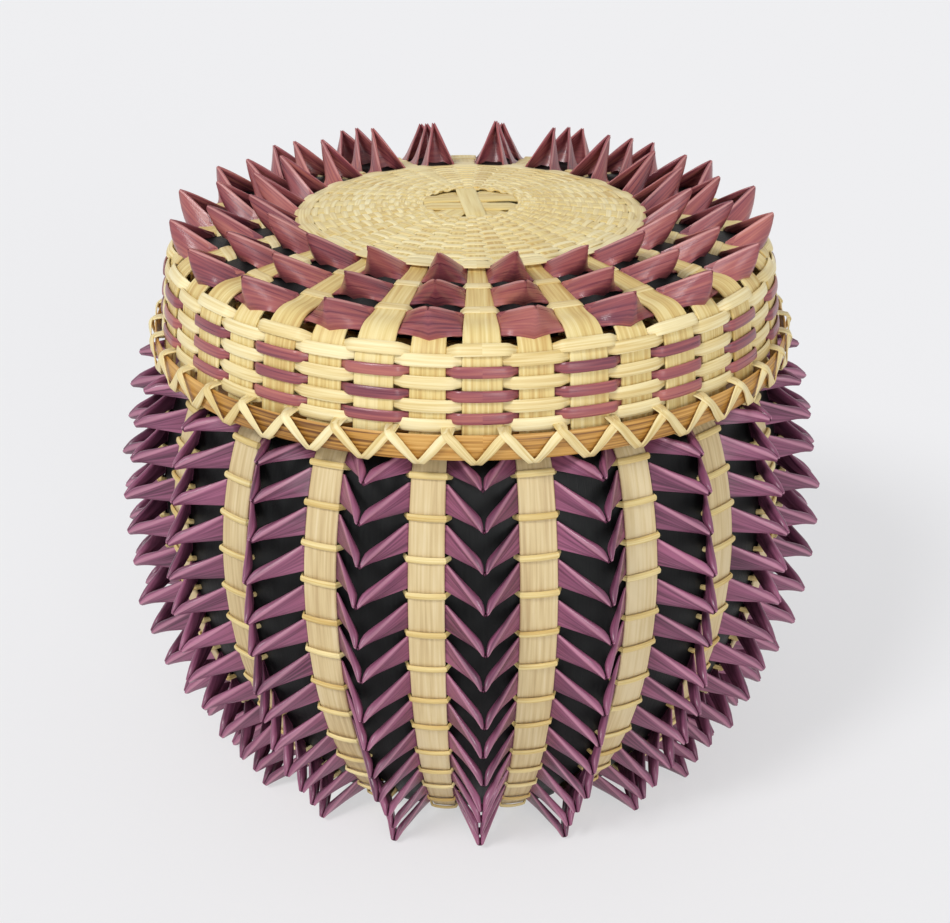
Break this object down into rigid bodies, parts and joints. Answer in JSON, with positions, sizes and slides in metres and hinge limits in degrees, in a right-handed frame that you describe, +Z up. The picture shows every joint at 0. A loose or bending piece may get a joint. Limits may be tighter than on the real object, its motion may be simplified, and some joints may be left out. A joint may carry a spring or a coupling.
{
  "type": "lidded splint basket",
  "caption": "Round barrel-shaped basket of woven ash splint, with rows of splints folded into outward points, and a low domed lid that fits over its rim.",
  "frame": {"origin": "centre of the basket's underside, on the surface it stands on", "axes": "+Z up, along the basket's axis; a column of points faces -Y, which is the picture's near side"},
  "size_m": [0.2012, 0.2012, 0.1653],
  "materials": {
    "natural_ash": "satin splint",
    "plum_ash": "satin dyed splint",
    "black_ash": "satin dyed splint",
    "rim_hoop": "satin, streaked"
  },
  "bodies": {
    "basket": {"natural_stakes": "natural_ash", "black_stakes": "black_ash", "base_weave": "natural_ash", "point_row_01": "plum_ash", "point_row_02": "plum_ash", "point_row_03": "plum_ash", "point_row_04": "plum_ash", "point_row_05": "plum_ash", "point_row_06": "plum_ash", "point_row_07": "plum_ash", "point_row_08": "plum_ash", "point_row_09": "plum_ash", "point_row_10": "plum_ash", "point_row_11": "plum_ash", "point_row_12": "plum_ash", "point_row_13": "plum_ash", "thin_weaver_01": "natural_ash", "thin_weaver_02": "natural_ash", "thin_weaver_03": "natural_ash", "thin_weaver_04": "natural_ash", "thin_weaver_05": "natural_ash", "thin_weaver_06": "natural_ash", "thin_weaver_07": "natural_ash", "thin_weaver_08": "natural_ash", "thin_weaver_09": "natural_ash", "thin_weaver_10": "natural_ash", "thin_weaver_11": "natural_ash", "thin_weaver_12": "natural_ash", "thin_weaver_13": "natural_ash", "neck_weaver": "natural_ash", "rim_outer_hoop": "rim_hoop", "rim_inner_hoop": "rim_hoop", "rim_lashing": "natural_ash"},
    "lid": {"lid_stakes": "natural_ash", "lid_black_overlays": "black_ash", "crown_weave": "natural_ash", "lid_point_row_1": "plum_ash", "lid_point_row_2": "plum_ash", "lid_point_row_3": "plum_ash", "lid_top_weaver_1": "natural_ash", "lid_top_weaver_2": "natural_ash", "lid_side_weaver_1": "natural_ash", "lid_side_weaver_2": "natural_ash", "lid_side_weaver_3": "plum_ash", "lid_side_weaver_4": "natural_ash", "lid_side_weaver_5": "plum_ash", "lid_side_weaver_6": "natural_ash", "lid_side_weaver_7": "plum_ash", "lid_side_weaver_8": "natural_ash", "lid_outer_hoop": "rim_hoop", "lid_inner_hoop": "rim_hoop", "lid_lashing": "natural_ash"}
  },
  "joints": [
    {"name": "lid_lift", "type": "slide", "parent": "basket", "child": "lid", "axis": [0, 0, 1], "range_m": [0, 0.08]}
  ]
}
